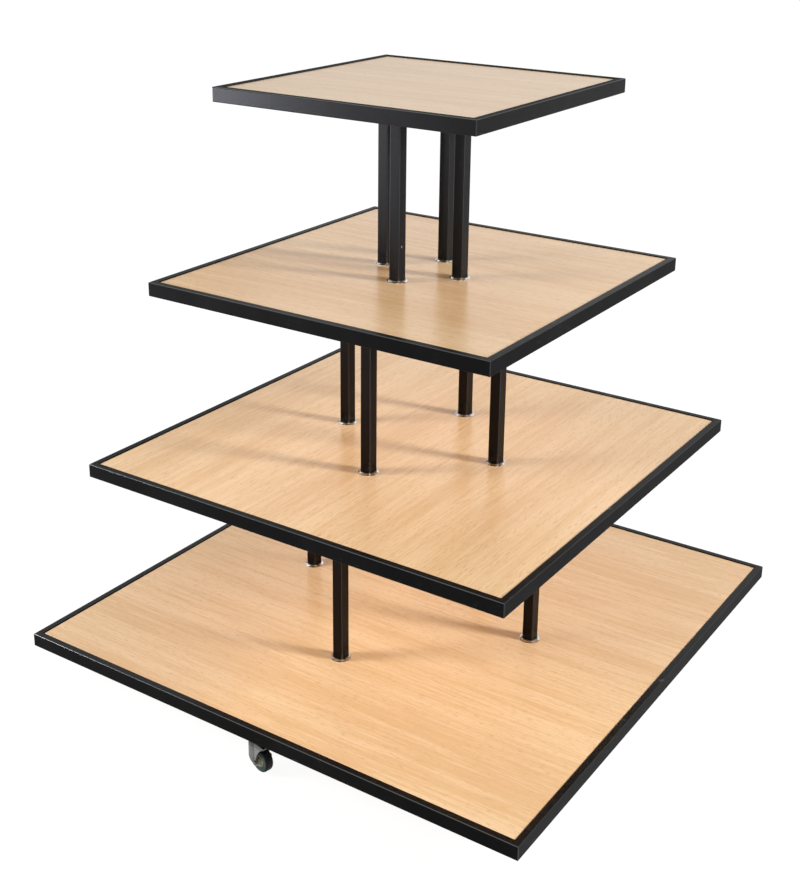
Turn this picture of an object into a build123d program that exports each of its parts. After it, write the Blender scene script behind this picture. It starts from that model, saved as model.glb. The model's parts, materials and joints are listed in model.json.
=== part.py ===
from build123d import *
import os
from math import asin, atan2, cos, degrees, hypot, radians, sin, sqrt

# A four-tier square display stand on swivel castors, in millimetres, +Z up.
# The origin is on the floor under the centre of the stand.
# The tiers are called top, upper, lower and base, and the sides front (-Y), right (+X), back and left.

# Tiers, measured over the rims
TOP_WIDTH = 600.0
UPPER_WIDTH = 800.0
LOWER_WIDTH = 1000.0
BASE_WIDTH = 1200.0

# Rim tube, standing on edge round each board
RIM_HEIGHT = 30.0
RIM_WIDTH = 15.0
RIM_WALL = 1.5
RIM_CORNER = 2.0

# Boards, lying on the cross bars inside the rims
BOARD_THICKNESS = 18.0
BOARD_GAP = 0.5
BOARD_ARRIS = 0.5

# Cross bars of flat tube, flush with the underside of the rims
BAR_WIDTH = 30.0
BAR_HEIGHT = 10.0
BAR_WALL = 1.5
BAR_CORNER = 2.0

# Corner plates under the corners of the boards
CORNER_PLATE_SIDE = 70.0
CORNER_PLATE_THICKNESS = 3.0
CORNER_SCREW_HOLE = 5.0
CORNER_SCREW_INSET = 23.0

# Legs of square tube, on the centre lines, each closed at its foot by a tapped plate
LEG_WIDTH = 25.0
LEG_WALL = 1.5
LEG_CORNER = 2.5
LEG_LENGTH = 360.0
FOOT_PLATE = 6.0
TOP_LEG_RADIUS = 93.0
UPPER_LEG_RADIUS = 193.0
LOWER_LEG_RADIUS = 293.0

# Slip-on leg caps: a square sleeve that flares into a round foot
CAP_BASE = 3.0
CAP_WALL = 1.2
CAP_HEIGHT = 28.0
CAP_FLARE = 7.8
CAP_FLARE_HEIGHT = 9.0
CAP_FOOT_EDGE = 1.2

# Flanged bolts that hold the legs down, put in from under the cross bars
LEG_BOLT_DIAMETER = 8.0
LEG_BOLT_FLATS = 13.0
LEG_BOLT_HEAD = 5.5
LEG_BOLT_FLANGE_DIAMETER = 18.0
LEG_BOLT_FLANGE = 1.5

# Castor wheel
WHEEL_DIAMETER = 50.0
TREAD_WIDTH = 18.5
TREAD_SHOULDER = 4.5
TYRE_THICKNESS = 12.0
HUB_RIM = 2.4
HUB_RIM_SETBACK = 0.6
HUB_WEB = 7.0
HUB_BOSS_DIAMETER = 13.0
HUB_PROUD = 5.1
HUB_DRAFT = 0.8

# Castor axle, a bolt with a nut
AXLE_DIAMETER = 5.0
AXLE_FLATS = 8.0
AXLE_HEAD = 3.5
AXLE_NUT = 4.0
AXLE_TIP = 1.0

# Castor fork, pressed from sheet: a hood with a round back, a little wider than its two flat cheeks
FORK_SHEET = 2.2
FORK_BEND = 3.0
FORK_BACK_RADIUS = 19.0
FORK_REACH = 38.0
FORK_SKIRT = 30.0
FORK_LIP = 2.2
FORK_TIP_RADIUS = 7.0
FORK_TIP_FRONT = 80.0
FORK_FRONT_SWEEP = 5.5
CASTOR_TRAIL = 12.5
WHEEL_ROOM = 12.5

# Castor swivel: a dished top plate, a kingpin and a ring of balls
PLATE_THICKNESS = 2.0
PLATE_CORNER = 6.0
DISH_DEPTH = 2.5
DISH_RADIUS = 14.6
BALL_DIAMETER = 4.0
BALL_SEAT = 0.75
BALL_RING_RADIUS = 10.4
BALL_COUNT = 10
KINGPIN_DIAMETER = 8.0
KINGPIN_HEAD_DIAMETER = 15.0
KINGPIN_HEAD = 2.2
KINGPIN_COLLAR_DIAMETER = 17.0
KINGPIN_COLLAR = 2.5

# Castor bolts with low domed heads, and the tapped pads that they go into
CASTOR_BOLT_DIAMETER = 6.0
CASTOR_BOLT_HEAD_DIAMETER = 10.5
CASTOR_BOLT_HEAD = 2.8
CASTOR_BOLT_DOME = 2.2
CASTOR_BOLT_SOCKET = 4.0
CASTOR_BOLT_SOCKET_DEPTH = 1.6
CASTOR_BOLT_SPACING = 32.0
CASTOR_BOLT_EDGE = 7.0
PAD_THICKNESS = 3.5

# How far in the pads lie from the outside of the base's rim, under the short bars and under the long one
END_PAD_SETBACK = 7.5
SIDE_PAD_SETBACK = 25.0

# Which way each castor trails at rest, in degrees from the run of its own side
FRONT_CASTOR_YAW = -12.0
RIGHT_CASTOR_YAW = 88.0
BACK_CASTOR_YAW = 35.0
LEFT_CASTOR_YAW = 160.0

# Clearances, each on one side
FIT = 0.05
RUNNING_FIT = 0.06
BOLT_PLAY = 0.3
SIDE_PLAY = 0.5
COLLAR_PLAY = 0.3
LEAST_CORNER = 0.2

# How far a cutting shape reaches past what it cuts, and the turn that sets a hexagon's flats across X
CUT_PAST = 1.0
HEXAGON_TURN = 30.0

# Levels and sizes that follow
fork_half_gap = TREAD_WIDTH / 2 + HUB_PROUD + SIDE_PLAY
fork_half_width = fork_half_gap + FORK_SHEET
axle_level = WHEEL_DIAMETER / 2
collar_bottom = WHEEL_DIAMETER + WHEEL_ROOM
crown_bottom = collar_bottom + KINGPIN_COLLAR + COLLAR_PLAY
crown_top = crown_bottom + FORK_SHEET
dish_bottom = crown_top + BALL_DIAMETER - 2 * BALL_SEAT
plate_bottom = dish_bottom + DISH_DEPTH
castor_height = plate_bottom + PLATE_THICKNESS
ball_level = crown_top - BALL_SEAT + BALL_DIAMETER / 2
plate_side = CASTOR_BOLT_SPACING + 2 * CASTOR_BOLT_EDGE
end_radius = BASE_WIDTH / 2 - END_PAD_SETBACK - plate_side / 2
side_radius = BASE_WIDTH / 2 - SIDE_PAD_SETBACK - plate_side / 2
deck = BAR_HEIGHT + BOARD_THICKNESS
pitch = deck + CAP_BASE + LEG_LENGTH
base_bottom = castor_height + PAD_THICKNESS

SIDES = {"front": 0.0, "right": 90.0, "back": 180.0, "left": 270.0}
CASTOR_YAWS = {
    "front": FRONT_CASTOR_YAW,
    "right": RIGHT_CASTOR_YAW,
    "back": BACK_CASTOR_YAW,
    "left": LEFT_CASTOR_YAW,
}
SWIVEL_RADII = {"front": end_radius, "right": side_radius, "back": end_radius, "left": side_radius}
WIDTHS = {"top": TOP_WIDTH, "upper": UPPER_WIDTH, "lower": LOWER_WIDTH, "base": BASE_WIDTH}
LEG_RADII = {"top": TOP_LEG_RADIUS, "upper": UPPER_LEG_RADIUS, "lower": LOWER_LEG_RADIUS}
ABOVE = {"upper": "top", "lower": "upper", "base": "lower"}
BELOW = {"top": "upper", "upper": "lower", "lower": "base"}
BOTTOMS = {
    "base": base_bottom,
    "lower": base_bottom + pitch,
    "upper": base_bottom + 2 * pitch,
    "top": base_bottom + 3 * pitch,
}


def to_side(side, shape):
    """Turns a shape made for the front side round to another side."""
    return Rot(0, 0, SIDES[side]) * shape


def save(name, *solids):
    """Writes one node, which holds one solid or a group of separate solids."""
    shape = solids[0] if len(solids) == 1 else Compound(children=list(solids))
    export_step(shape, f"parts/{name}.step")


def tube_section(width, height, wall, corner):
    """Section of a rectangular tube with rounded corners."""
    inner_corner = max(corner - wall, LEAST_CORNER)
    inside = RectangleRounded(width - 2 * wall, height - 2 * wall, inner_corner)
    return RectangleRounded(width, height, corner) - inside


def upright(radius, low, high):
    """A cylinder about Z between two levels."""
    return Pos(0, 0, low) * extrude(Circle(radius), high - low)


def hexagon(flats, low, high):
    """A hexagonal prism about Z between two levels, with two flats across X."""
    outline = RegularPolygon(flats / 2, 6, major_radius=False, rotation=HEXAGON_TURN)
    return Pos(0, 0, low) * extrude(outline, high - low)


def rim_rail(tier):
    """The front rail of a tier's rim, cut at 45 degrees at both ends."""
    width = WIDTHS[tier]
    bottom = BOTTOMS[tier]
    section = tube_section(RIM_WIDTH, RIM_HEIGHT, RIM_WALL, RIM_CORNER)
    seat = Pos(RIM_WIDTH / 2 - width / 2, bottom + RIM_HEIGHT / 2)
    stick = extrude(Plane.YZ * seat * section, width / 2, both=True)
    wedge = Polygon((0, 0), (-width, -width), (width, -width), align=None)
    cutter = extrude(Pos(0, 0, bottom - CUT_PAST) * wedge, RIM_HEIGHT + 2 * CUT_PAST)
    return stick & cutter


def bolt_hole(tier):
    """The clearance hole in a tier for a bolt of the leg above it, on the +X axis."""
    radius = LEG_BOLT_DIAMETER / 2 + BOLT_PLAY
    bottom = BOTTOMS[tier]
    hole = upright(radius, bottom - CUT_PAST, bottom + deck + CUT_PAST)
    return Pos(LEG_RADII[ABOVE[tier]], 0, 0) * hole


def cross_bar(tier, start, end):
    """A bar along X between two places, with holes for the legs that stand over it."""
    section = tube_section(BAR_WIDTH, BAR_HEIGHT, BAR_WALL, BAR_CORNER)
    seat = Pos(0, BOTTOMS[tier] + BAR_HEIGHT / 2)
    bar = Pos(start, 0, 0) * extrude(Plane.YZ * seat * section, end - start)
    if tier in ABOVE:
        hole = bolt_hole(tier)
        bar = bar - hole - Rot(0, 0, 180) * hole
    return bar


def cross_bars(tier):
    """One bar right across and two bars that butt against its middle."""
    reach = WIDTHS[tier] / 2 - RIM_WIDTH
    long_bar = cross_bar(tier, -reach, reach)
    short_bar = cross_bar(tier, BAR_WIDTH / 2, reach)
    return long_bar, Rot(0, 0, 90) * short_bar, Rot(0, 0, 270) * short_bar


def board(tier):
    """A laminate board with eased top edges, bored for the bolts of the legs that stand on it."""
    side = WIDTHS[tier] - 2 * RIM_WIDTH - 2 * BOARD_GAP
    slab = Pos(0, 0, BOTTOMS[tier] + BAR_HEIGHT) * extrude(Rectangle(side, side), BOARD_THICKNESS)
    slab = chamfer(slab.edges().group_by(Axis.Z)[-1], BOARD_ARRIS)
    if tier in ABOVE:
        hole = bolt_hole(tier)
        for angle in SIDES.values():
            slab = slab - Rot(0, 0, angle) * hole
    return slab


def corner_plate(tier):
    """A triangular plate in the front right corner of a rim, under the corner of the board."""
    inside = WIDTHS[tier] / 2 - RIM_WIDTH
    near = inside - CORNER_PLATE_SIDE
    triangle = Polygon((inside, -inside), (inside, -near), (near, -inside), align=None)
    screw_place = inside - CORNER_SCREW_INSET
    triangle = triangle - Pos(screw_place, -screw_place) * Circle(CORNER_SCREW_HOLE / 2)
    level = BOTTOMS[tier] + BAR_HEIGHT - CORNER_PLATE_THICKNESS
    return Pos(0, 0, level) * extrude(triangle, CORNER_PLATE_THICKNESS)


def at_foot(tier, shape):
    """Moves a shape made about Z on z = 0 to the foot of a tier's front leg, on the board below."""
    board_top = BOTTOMS[BELOW[tier]] + deck
    return Pos(0, -LEG_RADII[tier], board_top) * shape


def leg():
    """A leg about Z, standing in its cap, with the tapped plate that closes its foot."""
    outside = RectangleRounded(LEG_WIDTH, LEG_WIDTH, LEG_CORNER)
    bore_width = LEG_WIDTH - 2 * LEG_WALL
    bore_corner = max(LEG_CORNER - LEG_WALL, LEAST_CORNER)
    bore = RectangleRounded(bore_width, bore_width, bore_corner)
    post = Pos(0, 0, CAP_BASE) * extrude(outside, LEG_LENGTH)
    inside = Pos(0, 0, CAP_BASE + FOOT_PLATE) * extrude(bore, LEG_LENGTH)
    thread = upright(LEG_BOLT_DIAMETER / 2 + FIT, 0, CAP_BASE + FOOT_PLATE + CUT_PAST)
    return post - inside - thread


def leg_cap():
    """A clear cap about Z: a thin square sleeve that flares in a hollow curve to its round foot."""
    pocket_width = LEG_WIDTH + 2 * FIT
    sleeve_width = pocket_width + 2 * CAP_WALL
    sleeve = RectangleRounded(sleeve_width, sleeve_width, LEG_CORNER + FIT + CAP_WALL)
    neck = sleeve_width / 2
    foot = neck + CAP_FLARE
    flare_top = CAP_FOOT_EDGE + CAP_FLARE_HEIGHT
    curve = EllipticalCenterArc((foot, flare_top), CAP_FLARE, CAP_FLARE_HEIGHT, start_angle=180, arc_size=90)
    outline = make_face(
        [
            Line((0, 0), (foot, 0)),
            Line((foot, 0), (foot, CAP_FOOT_EDGE)),
            curve,
            Line((neck, flare_top), (0, flare_top)),
            Line((0, flare_top), (0, 0)),
        ]
    )
    skirt = revolve(Plane.XZ * outline, Axis.Z)
    pocket = RectangleRounded(pocket_width, pocket_width, LEG_CORNER + FIT)
    cap = skirt + extrude(sleeve, CAP_HEIGHT)
    cap = cap - Pos(0, 0, CAP_BASE) * extrude(pocket, CAP_HEIGHT)
    return cap - upright(LEG_BOLT_DIAMETER / 2 + BOLT_PLAY, -CUT_PAST, CAP_BASE + CUT_PAST)


def leg_bolt():
    """A flanged bolt about Z, up through the bar, the board and the cap into the leg's foot."""
    flange_top = -deck
    head_top = flange_top - LEG_BOLT_FLANGE
    shank = upright(LEG_BOLT_DIAMETER / 2, flange_top, CAP_BASE + FOOT_PLATE)
    flange = upright(LEG_BOLT_FLANGE_DIAMETER / 2, head_top, flange_top)
    return shank + flange + hexagon(LEG_BOLT_FLATS, head_top - LEG_BOLT_HEAD, head_top)


def at_castor(side, shape):
    """Moves a shape made about a castor's swivel axis, trailing along +X, to its place."""
    return to_side(side, Pos(0, -SWIVEL_RADII[side], 0) * Rot(0, 0, CASTOR_YAWS[side]) * shape)


def at_pad(side, shape):
    """Moves a shape made about a castor's swivel axis to its place, square to the rim."""
    return to_side(side, Pos(0, -SWIVEL_RADII[side], 0) * shape)


def at_axle(shape):
    """Moves a shape made about Z to the castor's axle, which lies along Y."""
    return Pos(CASTOR_TRAIL, 0, axle_level) * Rot(90, 0, 0) * shape


def bolt_pattern():
    """The places of a castor's four bolts, about its swivel axis."""
    return GridLocations(CASTOR_BOLT_SPACING, CASTOR_BOLT_SPACING, 2, 2).locations


def ball_groove():
    """The ring that the swivel balls sweep, with its clearance, to cut the races."""
    return Pos(0, 0, ball_level) * Torus(BALL_RING_RADIUS, BALL_DIAMETER / 2 + FIT)


def castor_top_plate():
    """A square plate with a round dish pressed down in its middle, which holds the upper race."""
    plate = Pos(0, 0, plate_bottom) * extrude(
        RectangleRounded(plate_side, plate_side, PLATE_CORNER), PLATE_THICKNESS
    )
    plate = plate + upright(DISH_RADIUS, dish_bottom, plate_bottom + PLATE_THICKNESS)
    floor_top = dish_bottom + PLATE_THICKNESS
    plate = plate - upright(DISH_RADIUS - PLATE_THICKNESS, floor_top, castor_height + CUT_PAST)
    plate = plate - upright(KINGPIN_DIAMETER / 2 + FIT, dish_bottom - CUT_PAST, floor_top + CUT_PAST)
    hole = upright(CASTOR_BOLT_DIAMETER / 2 + BOLT_PLAY, plate_bottom - CUT_PAST, castor_height + CUT_PAST)
    for place in bolt_pattern():
        plate = plate - place * hole
    return plate - ball_groove()


def castor_kingpin():
    """A rivet: its head lies in the dish, and its collar holds the fork up from below."""
    floor_top = dish_bottom + PLATE_THICKNESS
    head = upright(KINGPIN_HEAD_DIAMETER / 2, floor_top, floor_top + KINGPIN_HEAD)
    shank = upright(KINGPIN_DIAMETER / 2, collar_bottom, floor_top + KINGPIN_HEAD)
    collar = upright(KINGPIN_COLLAR_DIAMETER / 2, collar_bottom, collar_bottom + KINGPIN_COLLAR)
    return head + shank + collar


def castor_balls():
    """The ring of swivel balls between the dish and the crown of the fork."""
    places = PolarLocations(BALL_RING_RADIUS, BALL_COUNT).locations
    return [Pos(0, 0, ball_level) * place * Sphere(BALL_DIAMETER / 2) for place in places]


def fork_cheek():
    """Side view of the fork: the skirt behind, a rounded tip at the axle and a hollow front edge."""
    back = -FORK_BACK_RADIUS
    skirt_level = crown_top - FORK_SKIRT
    run = CASTOR_TRAIL - back
    drop = axle_level - skirt_level
    to_tip = hypot(run, drop)
    slope = atan2(drop, run) - asin(FORK_TIP_RADIUS / to_tip)
    tangent = sqrt(to_tip**2 - FORK_TIP_RADIUS**2)
    under_tip = (back + tangent * cos(slope), skirt_level + tangent * sin(slope))
    tip_start = degrees(slope) - 90
    front = radians(FORK_TIP_FRONT)
    over_tip = (CASTOR_TRAIL + FORK_TIP_RADIUS * cos(front), axle_level + FORK_TIP_RADIUS * sin(front))
    lip = (FORK_REACH, crown_top - FORK_LIP)
    past_back = back - CUT_PAST
    past_top = crown_top + CUT_PAST
    return make_face(
        [
            Line((past_back, past_top), (past_back, skirt_level)),
            Line((past_back, skirt_level), (back, skirt_level)),
            Line((back, skirt_level), under_tip),
            CenterArc((CASTOR_TRAIL, axle_level), FORK_TIP_RADIUS, tip_start, FORK_TIP_FRONT - tip_start),
            SagittaArc(over_tip, lip, FORK_FRONT_SWEEP),
            Line(lip, (FORK_REACH, past_top)),
            Line((FORK_REACH, past_top), (past_back, past_top)),
        ]
    )


def hood(back_radius, half_width, front, top, bend):
    """A solid block with a round back about Z, flat cheeks and a rounded top edge."""
    plan = Circle(back_radius) + Pos(front / 2, 0) * Rectangle(front, 2 * half_width)
    block = extrude(plan, top)
    return fillet(block.edges().group_by(Axis.Z)[-1], bend)


def castor_fork():
    """A pressed fork: a rounded hood, open below and in front, cut to the outline of its cheeks."""
    inner_bend = max(FORK_BEND - FORK_SHEET, LEAST_CORNER)
    past_front = FORK_REACH + FORK_BEND + CUT_PAST
    inner_back = FORK_BACK_RADIUS - FORK_SHEET
    shell = hood(FORK_BACK_RADIUS, fork_half_width, past_front, crown_top, FORK_BEND)
    shell = shell - hood(inner_back, fork_half_gap, past_front + FORK_BEND, crown_bottom, inner_bend)
    fork = shell & extrude(Plane.XZ * fork_cheek(), FORK_BACK_RADIUS + CUT_PAST, both=True)
    fork = fork - upright(KINGPIN_DIAMETER / 2 + RUNNING_FIT, crown_bottom - CUT_PAST, crown_top + CUT_PAST)
    axle_reach = fork_half_width + CUT_PAST
    fork = fork - at_axle(upright(AXLE_DIAMETER / 2 + FIT, -axle_reach, axle_reach))
    return fork - ball_groove()


def castor_axle():
    """The axle bolt, with its head on one cheek of the fork, and the nut on the other."""
    cheek = fork_half_width
    shank_end = cheek + AXLE_NUT + AXLE_TIP
    bolt = upright(AXLE_DIAMETER / 2, -shank_end, cheek)
    bolt = bolt + hexagon(AXLE_FLATS, cheek, cheek + AXLE_HEAD)
    nut = hexagon(AXLE_FLATS, -cheek - AXLE_NUT, -cheek)
    nut = nut - upright(AXLE_DIAMETER / 2 + FIT, -shank_end, -cheek + CUT_PAST)
    return at_axle(bolt), at_axle(nut)


def castor_hub():
    """The wheel centre: a boss on the axle, a thin web and a drafted rim under the tyre."""
    bore = AXLE_DIAMETER / 2 + RUNNING_FIT
    boss = HUB_BOSS_DIAMETER / 2
    rim = WHEEL_DIAMETER / 2 - TYRE_THICKNESS
    boss_end = TREAD_WIDTH / 2 + HUB_PROUD
    rim_end = TREAD_WIDTH / 2 - HUB_RIM_SETBACK
    web = HUB_WEB / 2
    half = [
        (bore, boss_end),
        (boss, boss_end),
        (boss + HUB_DRAFT, web),
        (rim - HUB_RIM - HUB_DRAFT, web),
        (rim - HUB_RIM, rim_end),
        (rim, rim_end),
    ]
    other_half = [(radius, -end) for radius, end in reversed(half)]
    outline = Polygon(*half, *other_half, align=None)
    return at_axle(revolve(Plane.XZ * outline, Axis.Z))


def castor_tyre():
    """A rubber tyre with rounded shoulders."""
    inside = WHEEL_DIAMETER / 2 - TYRE_THICKNESS + FIT
    outside = WHEEL_DIAMETER / 2
    outline = Pos((inside + outside) / 2, 0) * Rectangle(outside - inside, TREAD_WIDTH)
    outline = fillet(outline.vertices().group_by(Axis.X)[-1], TREAD_SHOULDER)
    return at_axle(revolve(Plane.XZ * outline, Axis.Z))


def castor_pad():
    """A plate welded under the end of a base cross bar, tapped for the castor's bolts."""
    pad = Rectangle(plate_side, plate_side)
    for place in bolt_pattern():
        pad = pad - place * Circle(CASTOR_BOLT_DIAMETER / 2 + FIT)
    return Pos(0, 0, castor_height) * extrude(pad, PAD_THICKNESS)


def castor_bolt():
    """A bolt with a domed socket head, up through the top plate into the pad, flush with the pad's top."""
    shank = upright(CASTOR_BOLT_DIAMETER / 2, plate_bottom, base_bottom)
    head_radius = CASTOR_BOLT_HEAD_DIAMETER / 2
    head_bottom = plate_bottom - CASTOR_BOLT_HEAD
    dome_radius = (head_radius**2 + CASTOR_BOLT_DOME**2) / (2 * CASTOR_BOLT_DOME)
    dome = Pos(0, 0, head_bottom + dome_radius) * Sphere(dome_radius)
    head = upright(head_radius, head_bottom, plate_bottom) & dome
    socket_top = head_bottom + CASTOR_BOLT_SOCKET_DEPTH
    return shank + head - hexagon(CASTOR_BOLT_SOCKET, head_bottom - CUT_PAST, socket_top)


os.makedirs("parts", exist_ok=True)

for tier in WIDTHS:
    save(f"{tier}_board", board(tier))
    save(f"{tier}_cross_bars", *cross_bars(tier))
    rail = rim_rail(tier)
    for side in SIDES:
        save(f"{tier}_rim_{side}", to_side(side, rail))
save("corner_plates", *[to_side(side, corner_plate(tier)) for tier in WIDTHS for side in SIDES])

post = leg()
for tier in LEG_RADII:
    for side in SIDES:
        save(f"{tier}_leg_{side}", to_side(side, at_foot(tier, post)))
for name, piece in {"leg_caps": leg_cap(), "leg_bolts": leg_bolt()}.items():
    save(name, *[to_side(side, at_foot(tier, piece)) for tier in LEG_RADII for side in SIDES])

fork = castor_fork()
axle_pieces = castor_axle()
hub = castor_hub()
tyre = castor_tyre()
for side in SIDES:
    save(f"{side}_castor_fork", at_castor(side, fork))
    save(f"{side}_castor_axle", *[at_castor(side, piece) for piece in axle_pieces])
    save(f"{side}_castor_hub", at_castor(side, hub))
    save(f"{side}_castor_tyre", at_castor(side, tyre))

balls = castor_balls()
bolts = [place * castor_bolt() for place in bolt_pattern()]
save("castor_top_plates", *[at_pad(side, castor_top_plate()) for side in SIDES])
save("castor_kingpins", *[at_pad(side, castor_kingpin()) for side in SIDES])
save("castor_swivel_balls", *[at_pad(side, ball) for side in SIDES for ball in balls])
save("castor_pads", *[at_pad(side, castor_pad()) for side in SIDES])
save("castor_bolts", *[at_pad(side, bolt) for side in SIDES for bolt in bolts])
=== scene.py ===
import json
import math

import bmesh
import bpy
from mathutils import Matrix, Vector


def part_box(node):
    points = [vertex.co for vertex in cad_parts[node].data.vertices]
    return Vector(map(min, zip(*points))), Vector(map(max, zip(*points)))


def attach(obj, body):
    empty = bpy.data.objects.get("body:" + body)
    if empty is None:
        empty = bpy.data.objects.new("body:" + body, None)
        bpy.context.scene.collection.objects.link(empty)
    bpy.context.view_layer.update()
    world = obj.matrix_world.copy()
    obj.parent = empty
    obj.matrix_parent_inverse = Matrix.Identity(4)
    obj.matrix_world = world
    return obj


# A four-tier display stand: beech laminate boards in black coated steel rims, on zinc castors.
# Metres, +Z up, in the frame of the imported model. Turns are in degrees.
# A range is a pair of values: a mask is 0 at the first and 1 at the second.

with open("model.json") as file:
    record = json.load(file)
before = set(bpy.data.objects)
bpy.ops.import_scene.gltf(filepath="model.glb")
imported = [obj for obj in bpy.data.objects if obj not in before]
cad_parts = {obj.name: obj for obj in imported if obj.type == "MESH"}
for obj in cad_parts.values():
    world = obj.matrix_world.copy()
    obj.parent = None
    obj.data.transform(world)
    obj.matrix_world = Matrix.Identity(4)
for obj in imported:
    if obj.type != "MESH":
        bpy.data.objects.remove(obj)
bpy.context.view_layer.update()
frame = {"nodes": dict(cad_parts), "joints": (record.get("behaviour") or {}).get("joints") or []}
nodes = frame["nodes"]
joints = {joint["name"]: joint for joint in frame["joints"]}

SIDES = ("front", "right", "back", "left")
TIERS = ("top", "upper", "lower", "base")
LEGGED_TIERS = TIERS[:3]

# Camera: the lens in pixels of the photograph, its place and its turns
PHOTO_HEIGHT = 887
LENS_ROW = 329.6
LENS_COLUMN_SHIFT = -0.5
FOCAL_PIXELS = 1366.7
SENSOR_MILLIMETRES = 36.0
CAMERA_PLACE = (1.4894, -2.3180, 1.6987)
CAMERA_AZIMUTH = 33.628
CAMERA_ELEVATION = 18.890
CAMERA_ROLL = 0.602

# Soft boxes on both sides and overhead, and one that only the black coat mirrors. Powers are in watts.
LAMP_AIM = (0.0, 0.0, 0.6)
RIGHT_LAMP_PLACE = (4.40, 1.00, 2.36)
RIGHT_LAMP_SIZE = (0.85, 1.10)
RIGHT_LAMP_POWER = 272.0
LEFT_LAMP_PLACE = (-2.00, -1.90, 1.50)
LEFT_LAMP_SIZE = (0.80, 1.00)
LEFT_LAMP_POWER = 73.0
TOP_LAMP_PLACE = (0.0, 0.0, 3.0)
TOP_LAMP_SIZE = (1.20, 1.20)
TOP_LAMP_POWER = 4.7
SHEEN_LAMP_PLACE = (-2.60, -2.60, 0.75)
SHEEN_LAMP_SIZE = (0.50, 0.80)
SHEEN_LAMP_POWER = 38.0
PLAIN_WHITE = (1.0, 1.0, 1.0)
COOL_WHITE = (0.92, 0.93, 1.06)

# Pale room: its even light, and the dim horizon and dark patch that glossy finishes mirror in it.
# Its ranges are heights and sides of a direction of length 1.
ROOM_LIGHT = 0.24
ROOM_COLOUR = (1.0, 1.0, 1.0, 1.0)
HORIZON_RANGE = (0.11, 0.14)
HORIZON_DIM = 0.42
PATCH_TURN = 213.6
PATCH_START = (0.08, 0.14)
PATCH_END = (0.45, 0.60)
PATCH_FOOT = (0.18, 0.26)
PATCH_HEAD = (0.36, 0.42)

# Pale floor: how it bounces light, how it glows near the stand and far off, and its dimmer side in mirrors
FLOOR_SIZE = 60.0
FLOOR_COLOUR = (0.80, 0.80, 0.80, 1.0)
FLOOR_SHADED = (0.11, 0.11, 0.11, 1.0)
FLOOR_GLOW = 0.94
FLOOR_FAR_GLOW = 0.99
FLOOR_FAR_RANGE = (1.0, 3.0)
FLOOR_DIM_TURN = 56.0
FLOOR_DIM_RANGE = (-0.3, 1.7)
FLOOR_DIM_SHARE = 0.52

# Beech laminate: scales are marks per metre along, across and through the grain
BEECH_PALE = (0.865, 0.617, 0.370, 1.0)
BEECH_TAN = (0.755, 0.486, 0.254, 1.0)
BEECH_FLECK = (0.64, 0.380, 0.186, 1.0)
GRAIN_ANGLE = {"top": 0.0, "upper": 0.0, "lower": 90.0, "base": 0.0}
GRAIN_SHIFT = {"top": 3.1, "upper": 7.7, "lower": 12.9, "base": 21.3}
GRAIN_SPREAD = {"top": 0.12, "upper": 0.12, "lower": 0.12, "base": 0.09}
BAND_SCALE = (0.9, 13, 13)
STREAK_SCALE = (2.5, 75, 75)
FIBRE_SCALE = (9, 330, 330)
FLECK_SCALE = (55, 520, 520)
BAND_SHARE = 0.36
STREAK_SHARE = 0.31
FIBRE_SHARE = 0.33
BAND_WANDER = 0.4
STREAK_WANDER = 0.2
FLECK_RANGE = (0.60, 0.70)
FLECK_SHARE = 0.75
BOARD_ROUGHNESS = 0.20
FIBRE_ROUGHNESS = 0.08
FIBRE_GROOVE = 0.6
FLECK_GROOVE = 0.4
GROOVE_DEPTH = 0.00004
GROOVE_STRENGTH = 0.4

# Black coat on the rims: masks are measured from the outer edges of the tube and from its mitres
COAT_COLOUR = (0.0036, 0.0036, 0.0040, 1.0)
COAT_DUST = (0.0068, 0.0068, 0.0070, 1.0)
# Lighter edge colour: partly wear, partly a painted highlight
COAT_WORN_AND_HIGHLIGHT = (0.010, 0.010, 0.0105, 1.0)
COAT_SCUFF = (0.055, 0.055, 0.053, 1.0)
RIM_GLOSS = {"top": 0.16, "upper": 0.055, "lower": 0.040, "base": 0.030}
RIM_ROUGHNESS = {"top": 0.24, "upper": 0.36, "lower": 0.36, "base": 0.36}
TOP_FACE_SHEEN = {"top": 0.0, "upper": 0.11, "lower": 0.11, "base": 0.19}
TOP_FACE_DULL = {"top": 0.45, "upper": 0.0, "lower": 0.0, "base": 0.0}
RIM_SHEEN_ROUGHNESS = 0.22
RIM_SHEEN_IOR = 1.9
RIM_PEEL_SCALE = 700.0
RIM_PEEL_DEPTH = 0.00006
RIM_PEEL_STRENGTH = 0.35
DUST_SCALE = 9.0
DUST_RANGE = (0.35, 0.75)
DUST_ROUGHNESS = 0.10
SCUFF_SCALE = (30, 30, 420)
SCUFF_RANGE = (0.66, 0.74)
SCUFF_ROUGHNESS = 0.15
SCUFF_PATCH_SCALE = 5.0
SCUFF_PATCH_RANGE = (0.52, 0.62)
MITRE_RANGE = (0.0002, 0.0012)
MITRE_DEPTH = 0.8
ARRIS_RANGE = (0.0003, 0.0017)
ARRIS_SHARPNESS = (0.10, 0.45)
ARRIS_LEAST = 0.75
ARRIS_UNEVEN = 0.5
SIDE_RANGE = (-0.001, 0.001)
SIDE_ARRIS = 0.42
CORNER_RANGE = (0.0003, 0.0020)
CORNER_SHEEN = 0.4
TOP_FACE_RANGE = (0.0001, 0.0006)
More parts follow.
